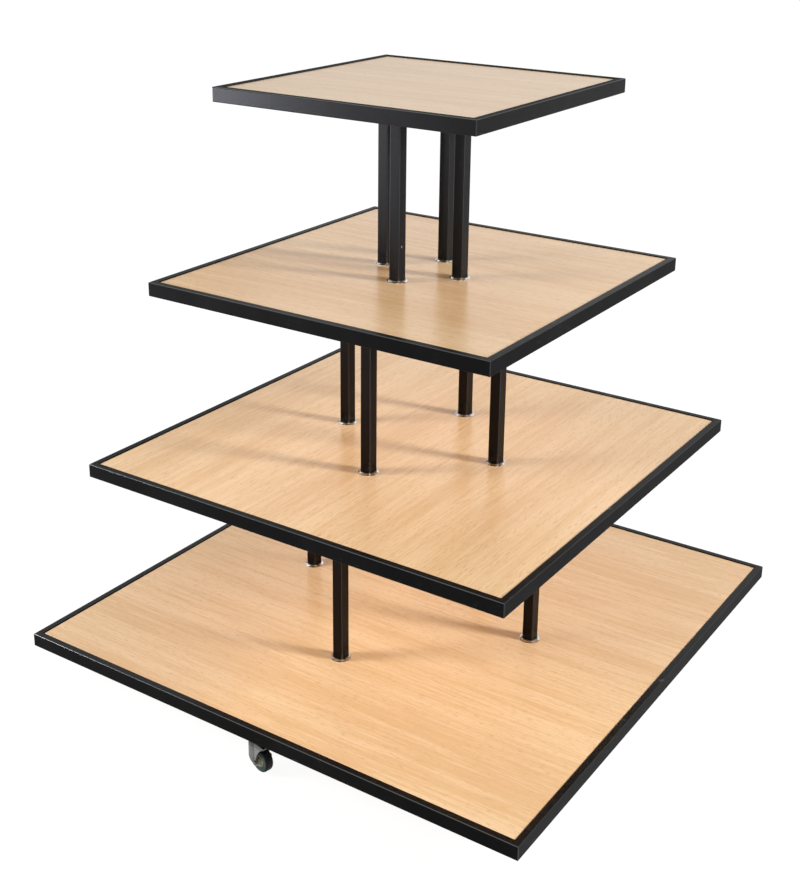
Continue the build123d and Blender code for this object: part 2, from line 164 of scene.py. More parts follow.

# Black coat on the legs and bars: a glossier coat with runs along the tubes
# Each tier's colours carry a painted reflection: brown from the boards on the upper and lower tiers, cool
# grey on the top
LEG_COLOUR_AND_REFLECTION = {
    "top": (0.0084, 0.0086, 0.0096, 1.0),
    "upper": (0.0068, 0.0036, 0.0028, 1.0),
    "lower": (0.0068, 0.0036, 0.0028, 1.0),
    "base": (0.0050, 0.0042, 0.0040, 1.0),
}
LEG_RUNS_AND_REFLECTION = {
    "top": (0.0120, 0.0123, 0.0136, 1.0),
    "upper": (0.0100, 0.0056, 0.0044, 1.0),
    "lower": (0.0100, 0.0056, 0.0044, 1.0),
    "base": (0.0080, 0.0068, 0.0064, 1.0),
}
# Lighter corner colour: partly wear, partly a painted highlight
LEG_WORN_AND_HIGHLIGHT = (0.026, 0.027, 0.030, 1.0)
LEG_GLOSS = {"top": 0.155, "upper": 0.09, "lower": 0.08, "base": 0.09}
LEG_ROUGHNESS = 0.26
RUN_ROUGHNESS = 0.12
RUN_SCALE = (160, 160, 7)
RUN_RANGE = (0.35, 0.75)
LEG_PEEL_SCALE = 600.0
LEG_PEEL_DEPTH = 0.00005
LEG_PEEL_STRENGTH = 0.3
LEG_SHEEN = 0.30
LEG_SHEEN_ROUGHNESS = 0.15
LEG_SHEEN_IOR = 1.8
LEG_CORNER_RANGE = (0.0102, 0.0115)
BARE_STEEL = (0.42, 0.41, 0.39, 1.0)
CHIP_PLACE = (0.0125, -0.0961, 0.9621)
CHIP_REACH = (0.0020, 0.0011, 0.0026)
CHIP_SCALE = 900.0
CHIP_RAGGED = 0.5
CHIP_RANGE = (1.05, 1.3)
CHIP_ROUGHNESS = 0.2

# Clear caps: radii are measured from the leg's axis, heights from the board
# Painted shade for the leg seen through the foot, and painted glints at the foot's rim
CAP_SHADE = (0.06, 0.055, 0.05, 1.0)
CAP_GLINT = (0.98, 0.98, 0.99, 1.0)
CAP_TINT = (0.98, 0.99, 0.99, 1.0)
CAP_FLARE_RANGE = (0.0158, 0.0178)
CAP_FOOT_RANGE = (0.0020, 0.0065)
CAP_FOOT_SHADE = 0.40
CAP_SKIN = 0.012
CAP_SLANT_POWER = 5.0
CAP_SLANT_SHARE = 0.30
CAP_ROUGHNESS = 0.05
CAP_RIPPLE_SCALE = 160.0
CAP_RIPPLE_DEPTH = 0.0003
CAP_RIPPLE_STRENGTH = 0.4
CAP_RIPPLE_ROUGHNESS = 0.06
GLINT_SCALE = 210.0
GLINT_RANGE = (0.40, 0.52)
GLINT_LEAST = 0.20
GLINT_SHARE = 0.75

# Zinc-plated and bright steel
ZINC_BRIGHT = (0.30, 0.315, 0.31, 1.0)
ZINC_DULL = (0.225, 0.238, 0.233, 1.0)
# The fork's darker colour: grime, and painted shade on its back, crease and crown bend
ZINC_GRIME_AND_SHADE = (0.10, 0.098, 0.088, 1.0)
ZINC_ROUGHNESS = 0.28
AXLE_BRIGHT = (0.23, 0.225, 0.21, 1.0)
AXLE_DULL = (0.15, 0.14, 0.12, 1.0)
AXLE_ROUGHNESS = 0.35
BALL_BRIGHT = (0.75, 0.75, 0.76, 1.0)
BALL_DULL = (0.70, 0.70, 0.71, 1.0)
BALL_ROUGHNESS = 0.10
STEEL_CLOUD_SCALE = 60.0
STEEL_CLOUD_RANGE = (0.35, 0.7)
STEEL_CLOUD_ROUGHNESS = 0.15
STEEL_GRAIN_SCALE = 900.0
STEEL_GRAIN_ROUGHNESS = 0.05
STEEL_GRAIN_DEPTH = 0.00003
STEEL_GRAIN_STRENGTH = 0.3

# Castor forks: distances ahead of the kingpin, above the floor and from the axle
FORK_ROUGHNESS = 0.30
FORK_DRAWN_SCALE = (500, 500, 30)
FORK_DRAWN_DEPTH = 0.5
FORK_DRAWN_SHARE = 0.4
FORK_CLOUD_SHARE = 0.6
FORK_BACK_RANGE = (0.0074, 0.0094)
FORK_CREASE = 0.0084
FORK_CREASE_RANGE = (0.0003, 0.0014)
FORK_CROWN_RANGE = (0.0565, 0.0610)
FORK_OIL_RANGE = (0.0050, 0.0130)
FORK_OIL_CLOUDS = (0.35, 0.60)
FORK_STAIN_CLOUDS = (0.58, 0.8)
# How much darker: painted shade on the back, crease and crown bend; grime from oil and stains
BACK_SHADE = 0.45
CREASE_SHADE = 0.45
CROWN_SHADE = 0.7
OIL_GRIME = 0.8
STAIN_GRIME = 0.3

# Castor wheels: radii are measured from the axle
TYRE_SIDE = (0.046, 0.076, 0.068, 1.0)
TYRE_TREAD_SHADE = (0.010, 0.011, 0.011, 1.0)
TYRE_DUST = (0.085, 0.095, 0.088, 1.0)
TYRE_TREAD_SHADE_RANGE = (0.0200, 0.0225)
TYRE_RING_RANGE = (0.0185, 0.0200)
TYRE_RING_RATE = 6000.0
TYRE_PARTING_RANGE = (0.0001, 0.0005)
TYRE_DUST_SCALE = 140.0
TYRE_DUST_RANGE = (0.52, 0.78)
TYRE_DUST_SHARE = 0.30
TYRE_ROUGHNESS = 0.42
TYRE_DUST_ROUGHNESS = 0.20
TYRE_GLOSS = 0.12
TYRE_GRAIN_HEIGHT = 0.5
TYRE_PARTING_HEIGHT = 1.5
TYRE_RING_HEIGHT = 0.4
TYRE_BUMP_DEPTH = 0.00008
TYRE_BUMP_STRENGTH = 0.5
HUB_CREAM = (0.56, 0.51, 0.36, 1.0)
HUB_YELLOWED = (0.46, 0.40, 0.26, 1.0)
HUB_AXLE_DARK = (0.12, 0.055, 0.032, 1.0)
HUB_CLOUD_SCALE = 120.0
HUB_CLOUD_RANGE = (0.4, 0.75)
HUB_AXLE_DARK_RANGE = (0.0040, 0.0058)
HUB_AXLE_DARK_RAGGED = 0.004
HUB_RING_RATE = 4200.0
HUB_RING_HEIGHT = 0.3
HUB_ROUGHNESS = 0.35
HUB_CLOUD_ROUGHNESS = 0.15
HUB_BUMP_DEPTH = 0.00004
HUB_BUMP_STRENGTH = 0.4
MOULDED_GRAIN_SCALE = 1500.0

# Corner screws and leg welds
PLATE_THICKNESS = 0.003
SCREW_INSET = 0.038
SCREW_HEAD = ((0.0042, 0.0), (0.0042, 0.0008), (0.0034, 0.0018), (0.0022, 0.0023))
SCREW_SOCKET = ((0.0015, 0.0023), (0.0015, 0.0010))
SCREW_SEGMENTS = 24
SOCKET_SEGMENTS = 6
WELD_REACH = 0.0024
WELD_HEIGHT = 0.0030
WELD_CORNER = 0.0028
WELD_CORNER_SEGMENTS = 4
WELD_GAP = 0.0002
SHARP_ANGLE = 35.0

# Places that the finishes need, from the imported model
LEG_RADIUS = {tier: sum(corner.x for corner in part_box(f"{tier}_leg_right")) / 2 for tier in LEGGED_TIERS}
LEG_STEP = LEG_RADIUS["lower"] - LEG_RADIUS["upper"]
LOWEST_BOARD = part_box("base_board")[1].z
TIER_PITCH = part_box("lower_board")[1].z - LOWEST_BOARD


class Wire:
    """An output socket of a material. Arithmetic on wires adds Math nodes."""

    def __init__(self, tree, socket=None):
        self.tree = tree
        self.socket = socket

    def node(self, kind, settings=None, inputs=None, output=0):
        """Adds a node, makes its settings, fills its sockets and gives one of its outputs."""
        made = self.tree.nodes.new(kind)
        for name, value in (settings or {}).items():
            setattr(made, name, value)
        for name, value in (inputs or {}).items():
            if isinstance(value, Wire):
                self.tree.links.new(value.socket, made.inputs[name])
            else:
                made.inputs[name].default_value = value
        return Wire(self.tree, made.outputs[output] if made.outputs else None)

    def math(self, operation, first, second=0.0):
        return self.node("ShaderNodeMath", {"operation": operation}, {0: first, 1: second})

    def __add__(self, other):
        return self.math("ADD", self, other)

    __radd__ = __add__

    def __sub__(self, other):
        return self.math("SUBTRACT", self, other)

    def __rsub__(self, other):
        return self.math("SUBTRACT", other, self)

    def __mul__(self, other):
        return self.math("MULTIPLY", self, other)

    __rmul__ = __mul__

    def __truediv__(self, other):
        return self.math("DIVIDE", self, other)

    def __rtruediv__(self, other):
        return self.math("DIVIDE", other, self)

    def __pow__(self, other):
        return self.math("POWER", self, other)

    def __rpow__(self, other):
        return self.math("POWER", other, self)

    def size(self):
        return self.math("ABSOLUTE", self)

    def floor(self):
        return self.math("FLOOR", self)

    def wave(self):
        return self.math("SINE", self)

    def least(self, other):
        return self.math("MINIMUM", self, other)

    def most(self, other):
        return self.math("MAXIMUM", self, other)

    def axis(self, letter):
        """One coordinate of a place."""
        return self.node("ShaderNodeSeparateXYZ", {}, {0: self}, output=letter)

    def length(self):
        """How far a place is from the origin."""
        return self.node("ShaderNodeVectorMath", {"operation": "LENGTH"}, {0: self}, output="Value")

    def between(self, low, high):
        """0 at low and below, 1 at high and above, smooth in between."""
        settings = {"interpolation_type": "SMOOTHSTEP"}
        return self.node("ShaderNodeMapRange", settings, {"Value": self, "From Min": low, "From Max": high})

    def blend(self, first, second):
        """The first colour where this wire is 0, the second where it is 1."""
        return self.node("ShaderNodeMix", {"data_type": "RGBA"}, {0: self, 6: first, 7: second}, output=2)

    def bump(self, distance, strength):
        """A normal from this wire as a height, where 1 stands for the distance in metres."""
        inputs = {"Height": self, "Distance": distance, "Strength": strength}
        return self.node("ShaderNodeBump", {}, inputs)


def new_material(name):
    """A material with a bare tree, and the wire that its nodes are added from."""
    material = bpy.data.materials.new(name)
    material.use_nodes = True
    material.node_tree.nodes.clear()
    return material, Wire(material.node_tree)


def finish_with(wire, shader_inputs):
    """Ends a material in a Principled shader."""
    shader = wire.node("ShaderNodeBsdfPrincipled", {}, shader_inputs)
    wire.node("ShaderNodeOutputMaterial", {}, {"Surface": shader})


def object_place(wire):
    return wire.node("ShaderNodeTexCoord", output="Object")


def mapped(wire, vector, shift=(0, 0, 0), turn=0.0, scale=(1, 1, 1)):
    """A place scaled, turned about Z and shifted."""
    inputs = {"Vector": vector, "Location": shift, "Rotation": (0, 0, math.radians(turn)), "Scale": scale}
    return wire.node("ShaderNodeMapping", {}, inputs)


def centred(wire, middle, turn=0.0, reach=(1, 1, 1)):
    """The place as seen from a middle point, turned about Z and measured in reaches."""
    inputs = {
        "Vector": object_place(wire),
        "Location": middle,
        "Rotation": (0, 0, math.radians(turn)),
        "Scale": reach,
    }
    return wire.node("ShaderNodeMapping", {"vector_type": "TEXTURE"}, inputs)


def noise(wire, vector, scale=1.0, detail=2.0, roughness=0.5, distortion=0.0):
    inputs = {
        "Vector": vector,
        "Scale": scale,
        "Detail": detail,
        "Roughness": roughness,
        "Distortion": distortion,
    }
    return wire.node("ShaderNodeTexNoise", {}, inputs)


def clouds(wire, vector, scale):
    """Uneven patches with soft edges."""
    return noise(wire, vector, scale, detail=4, roughness=0.6)


def grit(wire, vector, scale):
    """A fine, even grain."""
    return noise(wire, vector, scale, roughness=0.6)


def beech_laminate(tier):
    """Printed beech: broad soft bands, fine fibres and short darker flecks along the grain."""
    material, wire = new_material(f"beech_laminate_{tier}")
    shift = GRAIN_SHIFT[tier]
    grain = mapped(wire, object_place(wire), (shift, shift, 0), GRAIN_ANGLE[tier])
    bands = noise(wire, mapped(wire, grain, scale=BAND_SCALE), detail=3, distortion=BAND_WANDER)
    streaked = mapped(wire, grain, scale=STREAK_SCALE)
    streaks = noise(wire, streaked, detail=3, roughness=0.6, distortion=STREAK_WANDER)
    fibres = grit(wire, mapped(wire, grain, scale=FIBRE_SCALE), 1.0)
    flecks = noise(wire, mapped(wire, grain, scale=FLECK_SCALE), detail=1)
    tone = bands * BAND_SHARE + streaks * STREAK_SHARE + fibres * FIBRE_SHARE
    spread = GRAIN_SPREAD[tier]
    colour = tone.between(0.5 - spread, 0.5 + spread).blend(BEECH_PALE, BEECH_TAN)
    fleck = flecks.between(*FLECK_RANGE) * FLECK_SHARE
    grooves = fibres * FIBRE_GROOVE + flecks * FLECK_GROOVE
    finish_with(
        wire,
        {
            "Base Color": fleck.blend(colour, BEECH_FLECK),
            "Roughness": BOARD_ROUGHNESS + fibres * FIBRE_ROUGHNESS,
            "Normal": grooves.bump(GROOVE_DEPTH, GROOVE_STRENGTH),
        },
    )
    return material


def rim_coat(tier):
    """Satin powder coat: orange peel, scuffs, ground mitres, and edges lighter as wear and painted
    highlight.
    """
    material, wire = new_material(f"rim_coat_{tier}")
    place = object_place(wire)
    peel = noise(wire, place, RIM_PEEL_SCALE)
    cloud = clouds(wire, place, DUST_SCALE)
    marks = noise(wire, mapped(wire, place, scale=SCUFF_SCALE))
    patches = noise(wire, place, SCUFF_PATCH_SCALE, detail=1)
    scuff = marks.between(*SCUFF_RANGE) * patches.between(*SCUFF_PATCH_RANGE)
    across = place.axis("X").size()
    along = place.axis("Y").size()
    mitre = 1 - (across - along).size().between(*MITRE_RANGE)
    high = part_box(f"{tier}_rim_right")[1]
    depth = high.z - place.axis("Z")
    inward = (high.x - across.most(along)).between(*ARRIS_RANGE)
    downward = depth.between(*ARRIS_RANGE)
    arris = ((1 - inward) * (1 - downward)).between(*ARRIS_SHARPNESS) * (ARRIS_LEAST + cloud * ARRIS_UNEVEN)
    front_or_back = (along - across).between(*SIDE_RANGE)
    arris = arris * (SIDE_ARRIS + front_or_back * (1 - SIDE_ARRIS))
    corner = 1 - (high.x - across.least(along)).between(*CORNER_RANGE)
    arris = arris.most(corner * CORNER_SHEEN)
    top_face = 1 - depth.between(*TOP_FACE_RANGE)
    sheen = arris.most(top_face * TOP_FACE_SHEEN[tier])
    colour = cloud.between(*DUST_RANGE).blend(COAT_COLOUR, COAT_DUST)
    # Edges and corners are painted lighter: partly wear, partly a painted highlight, stronger on the front
    # and back rims
    colour = arris.least(1.0).blend(colour, COAT_WORN_AND_HIGHLIGHT)
    roughness = RIM_ROUGHNESS[tier] + cloud * DUST_ROUGHNESS + scuff * SCUFF_ROUGHNESS
    height = peel - mitre * MITRE_DEPTH
    finish_with(
        wire,
        {
            "Base Color": scuff.blend(colour, COAT_SCUFF),
            "Roughness": roughness + top_face * TOP_FACE_DULL[tier],
            "Specular IOR Level": RIM_GLOSS[tier],
            "Coat Weight": sheen.least(1.0),
            "Coat Roughness": RIM_SHEEN_ROUGHNESS,
            "Coat IOR": RIM_SHEEN_IOR,
            "Normal": height.bump(RIM_PEEL_DEPTH, RIM_PEEL_STRENGTH),
        },
    )
    return material


def leg_corners(place, tier):
    """1 on the rounded corners of a tier's legs."""
    across = place.axis("X").size()
    along = place.axis("Y").size()
    outward = (across.most(along) - LEG_RADIUS[tier]).size()
    sideways = across.least(along)
    return outward.between(*LEG_CORNER_RANGE) * sideways.between(*LEG_CORNER_RANGE)


def leg_coat(name, tier, is_leg=False, chipped=False):
    """Coat on legs and bars with runs; leg corners lighter as wear and painted highlight; a chip bares
    steel.
    """
    material, wire = new_material(name)
    place = object_place(wire)
    peel = noise(wire, place, LEG_PEEL_SCALE)
    runs = noise(wire, mapped(wire, place, scale=RUN_SCALE), detail=3, roughness=0.6)
    # The tier's colours carry a painted reflection
    colour = runs.between(*RUN_RANGE).blend(LEG_COLOUR_AND_REFLECTION[tier], LEG_RUNS_AND_REFLECTION[tier])
    roughness = LEG_ROUGHNESS + runs * RUN_ROUGHNESS
    sheen = 0.0
    if is_leg:
        corner = leg_corners(place, tier)
        # The corners are painted lighter: partly wear, partly a painted highlight
        colour = corner.blend(colour, LEG_WORN_AND_HIGHLIGHT)
        sheen = corner * LEG_SHEEN
    if chipped:
        ragged = noise(wire, place, CHIP_SCALE) * CHIP_RAGGED
        reach = centred(wire, CHIP_PLACE, reach=CHIP_REACH).length() + ragged
        chip = 1 - reach.between(*CHIP_RANGE)
        colour = chip.blend(colour, BARE_STEEL)
        roughness = roughness + chip * CHIP_ROUGHNESS
    finish_with(
        wire,
        {
            "Base Color": colour,
            "Roughness": roughness,
            "Specular IOR Level": LEG_GLOSS[tier],
            "Coat Weight": sheen,
            "Coat Roughness": LEG_SHEEN_ROUGHNESS,
            "Coat IOR": LEG_SHEEN_IOR,
            "Normal": peel.bump(LEG_PEEL_DEPTH, LEG_PEEL_STRENGTH),
        },
    )
    return material


def clear_plastic():
    """Thin clear caps: the wood shows through; the flared feet carry painted shade near the leg and painted
    glints.
    """
    material, wire = new_material("clear_plastic")
    place = object_place(wire)
    ripple = noise(wire, place, CAP_RIPPLE_SCALE)
    normal = ripple.bump(CAP_RIPPLE_DEPTH, CAP_RIPPLE_STRENGTH)
    level = place.axis("Z") - LOWEST_BOARD
    storey = (level / TIER_PITCH).floor()
    height = level - storey * TIER_PITCH
    across = place.axis("X").size()
    along = place.axis("Y").size()
    outward = across.most(along) - (LEG_RADIUS["lower"] - storey * LEG_STEP)
    sideways = across.least(along)
    flare = ((outward * outward + sideways * sideways) ** 0.5).between(*CAP_FLARE_RANGE)
    skin = {
        "Base Color": flare.blend(CAP_SHADE, CAP_GLINT),
        "Metallic": 1.0,
        "Roughness": CAP_ROUGHNESS + ripple * CAP_RIPPLE_ROUGHNESS,
        "Normal": normal,
    }
    gloss = wire.node("ShaderNodeBsdfPrincipled", {}, skin)
    through = wire.node("ShaderNodeBsdfTransparent", {}, {"Color": CAP_TINT})
    slant = wire.node("ShaderNodeLayerWeight", {}, {"Blend": 0.5, "Normal": normal}, output="Facing")
    foot = 1 - height.between(*CAP_FOOT_RANGE)
    glint = noise(wire, place, GLINT_SCALE, detail=1).between(*GLINT_RANGE)
    # Painted shade near the leg, painted glints at the foot's rim
    shown = (1 - flare) * CAP_FOOT_SHADE + flare * (GLINT_LEAST + glint * GLINT_SHARE)
    factor = CAP_SKIN + slant ** CAP_SLANT_POWER * CAP_SLANT_SHARE + foot * shown
    cap_shader = wire.node("ShaderNodeMixShader", {}, {0: factor, 1: through, 2: gloss})
    wire.node("ShaderNodeOutputMaterial", {}, {"Surface": cap_shader})
    return material


def plated_steel(name, bright, dull, roughness):
    """Plated steel: a bright skin with duller clouds and a fine pressed grain."""
    material, wire = new_material(name)
    place = object_place(wire)
    cloud = clouds(wire, place, STEEL_CLOUD_SCALE)
    fine = grit(wire, place, STEEL_GRAIN_SCALE)
    finish_with(
        wire,
        {
            "Base Color": cloud.between(*STEEL_CLOUD_RANGE).blend(bright, dull),
            "Metallic": 1.0,
            "Roughness": roughness + cloud * STEEL_CLOUD_ROUGHNESS + fine * STEEL_GRAIN_ROUGHNESS,
            "Normal": fine.bump(STEEL_GRAIN_DEPTH, STEEL_GRAIN_STRENGTH),
        },
    )
    return material


def kingpin(side):
    """Where a castor swivels."""
    return Vector(joints[f"{side}_castor_swivel"]["pos_m"])


def wheel_middle(side):
    """The middle of a wheel at rest."""
    return Vector(joints[f"{side}_castor_roll"]["pos_m"])


def heading(side):
    """Which way a castor's wheel lies from its kingpin at rest."""
    trail = wheel_middle(side) - kingpin(side)
    return math.degrees(math.atan2(trail.y, trail.x))


def wheel_place(wire, side):
    """The place as seen from the middle of a wheel, with the axle along Y."""
    return centred(wire, wheel_middle(side), heading(side))


def wheel_radius(wire, spot):
    """How far a place is from the axle."""
    return mapped(wire, spot, scale=(1, 0, 1)).length()


def fork_zinc(side):
    """Pressed zinc-plated sheet: bright cheeks, painted shade on the back, crease and crown, grime by the
    axle and in patches.
    """
    material, wire = new_material(f"fork_zinc_{side}")
    middle = kingpin(side)
    spot = centred(wire, (middle.x, middle.y, 0.0), heading(side))
    forward = spot.axis("X")
    cloud = clouds(wire, spot, STEEL_CLOUD_SCALE)
    fine = grit(wire, spot, STEEL_GRAIN_SCALE)
    drawn = noise(wire, mapped(wire, spot, scale=FORK_DRAWN_SCALE))
    dullness = cloud * FORK_CLOUD_SHARE + drawn * FORK_DRAWN_SHARE
    plate = dullness.between(*STEEL_CLOUD_RANGE).blend(ZINC_BRIGHT, ZINC_DULL)
    back = 1 - forward.between(*FORK_BACK_RANGE)
    crease = 1 - (forward - FORK_CREASE).size().between(*FORK_CREASE_RANGE)
    crown = spot.axis("Z").between(*FORK_CROWN_RANGE)
    oil = 1 - wheel_radius(wire, wheel_place(wire, side)).between(*FORK_OIL_RANGE)
    oil = oil * cloud.between(*FORK_OIL_CLOUDS)
    stains = cloud.between(*FORK_STAIN_CLOUDS)
    # The back, the crease and the crown bend are painted darker as shade; the oil and the stains are grime
    grime_and_shade = back * BACK_SHADE + crease * CREASE_SHADE + crown * CROWN_SHADE
    grime_and_shade = grime_and_shade + oil * OIL_GRIME + stains * STAIN_GRIME
    finish_with(
        wire,
        {
            "Base Color": grime_and_shade.least(1.0).blend(plate, ZINC_GRIME_AND_SHADE),
            "Metallic": 1.0,
            "Roughness": FORK_ROUGHNESS + cloud * STEEL_CLOUD_ROUGHNESS + fine * STEEL_GRAIN_ROUGHNESS,
            "Normal": (fine + drawn * FORK_DRAWN_DEPTH).bump(STEEL_GRAIN_DEPTH, STEEL_GRAIN_STRENGTH),
        },
    )
    return material


def tyre_rubber(side):
    """A tyre with greyish moulded cheeks, a tread painted near-black as shade, a parting line and floor
    dust.
    """
    material, wire = new_material(f"tyre_rubber_{side}")
    spot = wheel_place(wire, side)
    radius = wheel_radius(wire, spot)
    parting = 1 - spot.axis("Y").size().between(*TYRE_PARTING_RANGE)
    rings = (radius * TYRE_RING_RATE).wave() * (1 - radius.between(*TYRE_RING_RANGE))
    cloud = clouds(wire, spot, TYRE_DUST_SCALE)
    fine = grit(wire, spot, MOULDED_GRAIN_SCALE)
    # The tread is painted near-black as shade
    colour = radius.between(*TYRE_TREAD_SHADE_RANGE).blend(TYRE_SIDE, TYRE_TREAD_SHADE)
    dust = cloud.between(*TYRE_DUST_RANGE) * TYRE_DUST_SHARE
    height = fine * TYRE_GRAIN_HEIGHT + parting * TYRE_PARTING_HEIGHT + rings * TYRE_RING_HEIGHT
    finish_with(
        wire,
        {
            "Base Color": dust.blend(colour, TYRE_DUST),
            "Roughness": TYRE_ROUGHNESS + cloud * TYRE_DUST_ROUGHNESS,
            "Specular IOR Level": TYRE_GLOSS,
            "Normal": height.bump(TYRE_BUMP_DEPTH, TYRE_BUMP_STRENGTH),
        },
    )
    return material


def cream_hub(side):
    """A moulded hub with faint rings, yellowed unevenly, and darker reddish-brown about the axle."""
    material, wire = new_material(f"cream_hub_{side}")
    spot = wheel_place(wire, side)
    radius = wheel_radius(wire, spot)
    cloud = clouds(wire, spot, HUB_CLOUD_SCALE)
    fine = grit(wire, spot, MOULDED_GRAIN_SCALE)
    rings = (radius * HUB_RING_RATE).wave()
    colour = cloud.between(*HUB_CLOUD_RANGE).blend(HUB_CREAM, HUB_YELLOWED)
    axle_dark = 1 - (radius + (cloud - 0.5) * HUB_AXLE_DARK_RAGGED).between(*HUB_AXLE_DARK_RANGE)
    finish_with(
        wire,
        {
            "Base Color": axle_dark.blend(colour, HUB_AXLE_DARK),
            "Roughness": HUB_ROUGHNESS + cloud * HUB_CLOUD_ROUGHNESS,
            "Normal": (fine + rings * HUB_RING_HEIGHT).bump(HUB_BUMP_DEPTH, HUB_BUMP_STRENGTH),
        },
    )
    return material


def dress(node, material):
    """Gives a CAD node its finish."""
    slots = nodes[node].data.materials
    slots.clear()
    slots.append(material)


bars = {tier: leg_coat(f"bar_coat_{tier}", tier) for tier in TIERS}
zinc = plated_steel("zinc_plate", ZINC_BRIGHT, ZINC_DULL, ZINC_ROUGHNESS)
axle = plated_steel("axle_steel", AXLE_BRIGHT, AXLE_DULL, AXLE_ROUGHNESS)
balls = plated_steel("ball_steel", BALL_BRIGHT, BALL_DULL, BALL_ROUGHNESS)

for tier in TIERS:
    dress(f"{tier}_board", beech_laminate(tier))
    dress(f"{tier}_cross_bars", bars[tier])
    rim = rim_coat(tier)
    for side in SIDES:
        dress(f"{tier}_rim_{side}", rim)
for tier in LEGGED_TIERS:
    tube = leg_coat(f"leg_coat_{tier}", tier, is_leg=True)
    for side in SIDES:
        dress(f"{tier}_leg_{side}", tube)
dress("top_leg_front", leg_coat("leg_coat_chipped", "top", is_leg=True, chipped=True))
dress("leg_caps", clear_plastic())
for node in ("corner_plates", "castor_pads"):
    dress(node, bars["base"])
for node in ("leg_bolts", "castor_bolts", "castor_top_plates", "castor_kingpins"):
    dress(node, zinc)
dress("castor_swivel_balls", balls)
for side in SIDES:
    dress(f"{side}_castor_fork", fork_zinc(side))
    dress(f"{side}_castor_axle", axle)
    dress(f"{side}_castor_hub", cream_hub(side))
    dress(f"{side}_castor_tyre", tyre_rubber(side))


def add_piece(name, mesh, material):
    """Puts a finished mesh on the stand."""
    bmesh.ops.recalc_face_normals(mesh, faces=mesh.faces)
    for face in mesh.faces:
        face.smooth = True
    data = bpy.data.meshes.new(name)
    mesh.to_mesh(data)
    mesh.free()
    data.set_sharp_from_angle(angle=math.radians(SHARP_ANGLE))
    data.materials.append(material)
    piece = bpy.data.objects.new(name, data)
    bpy.context.scene.collection.objects.link(piece)
    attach(piece, "stand")


def ring(mesh, place, radius, segments):
    """A closed ring of edges about Z, as a list."""
    matrix = Matrix.Translation(place)
    corners = bmesh.ops.create_circle(mesh, segments=segments, radius=radius, matrix=matrix)["verts"]
    return list({edge for corner in corners for edge in corner.link_edges})


def add_screw(mesh, x, y, level):
    """A low button head with a hexagon socket, hanging from a level."""
    rings = [ring(mesh, (x, y, level - drop), radius, SCREW_SEGMENTS) for radius, drop in SCREW_HEAD]
    rings += [ring(mesh, (x, y, level - drop), radius, SOCKET_SEGMENTS) for radius, drop in SCREW_SOCKET]
    for first, second in zip(rings, rings[1:]):
        bmesh.ops.bridge_loops(mesh, edges=first + second)
    bmesh.ops.edgeloop_fill(mesh, edges=rings[0])
    bmesh.ops.edgeloop_fill(mesh, edges=rings[-1])


def corner_screws():
    """A screw under each corner plate."""
    mesh = bmesh.new()
    for tier in TIERS:
        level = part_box(f"{tier}_board")[0].z - PLATE_THICKNESS
        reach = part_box(f"{tier}_rim_right")[1].x - SCREW_INSET
        for x, y in ((reach, reach), (reach, -reach), (-reach, reach), (-reach, -reach)):
            add_screw(mesh, x, y, level)
    add_piece("corner_screws", mesh, zinc)


def add_weld(mesh, low, high):
    """A fillet round the head of a leg: a rounded square, drawn in to the tube as it goes down."""
    half = (high.x - low.x) / 2
    head = Vector(((low.x + high.x) / 2, (low.y + high.y) / 2, high.z))
    made = bmesh.ops.create_circle(
        mesh,
        cap_ends=True,
        segments=4,
        radius=(half + WELD_REACH) * math.sqrt(2),
        matrix=Matrix.Translation(head) @ Matrix.Rotation(math.radians(45), 4, "Z"),
    )
    bevelled = bmesh.ops.bevel(
        mesh,
        geom=made["verts"],
        affect="VERTICES",
        offset=WELD_CORNER,
        segments=WELD_CORNER_SEGMENTS,
        profile=0.5,
        material=-1,
    )
    face = bevelled["verts"][0].link_faces[0]
    pulled = bmesh.ops.extrude_face_region(mesh, geom=[face], use_keep_orig=True)
    lower = [part for part in pulled["geom"] if isinstance(part, bmesh.types.BMVert)]
    shrink = (half + WELD_GAP) / (half + WELD_REACH)
    bmesh.ops.scale(mesh, vec=(shrink, shrink, 1), verts=lower, space=Matrix.Translation(-head))
    bmesh.ops.translate(mesh, vec=(0, 0, -WELD_HEIGHT), verts=lower)


def leg_welds():
    """A weld round the head of each leg, under the bars."""
    mesh = bmesh.new()
    for tier in LEGGED_TIERS:
        for side in SIDES:
            add_weld(mesh, *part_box(f"{tier}_leg_{side}"))
    add_piece("leg_welds", mesh, bars["base"])


corner_screws()
leg_welds()


def place_camera():
    """The camera of the photograph, as solved from the edges of the rims."""
    azimuth = math.radians(CAMERA_AZIMUTH)
    elevation = math.radians(CAMERA_ELEVATION)
    level = math.cos(elevation)
    back = Vector((math.sin(azimuth) * level, -math.cos(azimuth) * level, math.sin(elevation)))
    right = Vector((0, 0, 1)).cross(back).normalized()
    turn = Matrix((right, back.cross(right), back)).transposed().to_4x4()
    roll = Matrix.Rotation(math.radians(CAMERA_ROLL), 4, "Z")
    camera = bpy.data.cameras.new("camera")
    camera.sensor_width = SENSOR_MILLIMETRES
    camera.lens = FOCAL_PIXELS * SENSOR_MILLIMETRES / PHOTO_HEIGHT
    camera.shift_x = LENS_COLUMN_SHIFT / PHOTO_HEIGHT
    camera.shift_y = LENS_ROW / PHOTO_HEIGHT - 0.5
    holder = bpy.data.objects.new("camera", camera)
    bpy.context.scene.collection.objects.link(holder)
    holder.matrix_world = Matrix.Translation(CAMERA_PLACE) @ turn @ roll
    bpy.context.scene.camera = holder


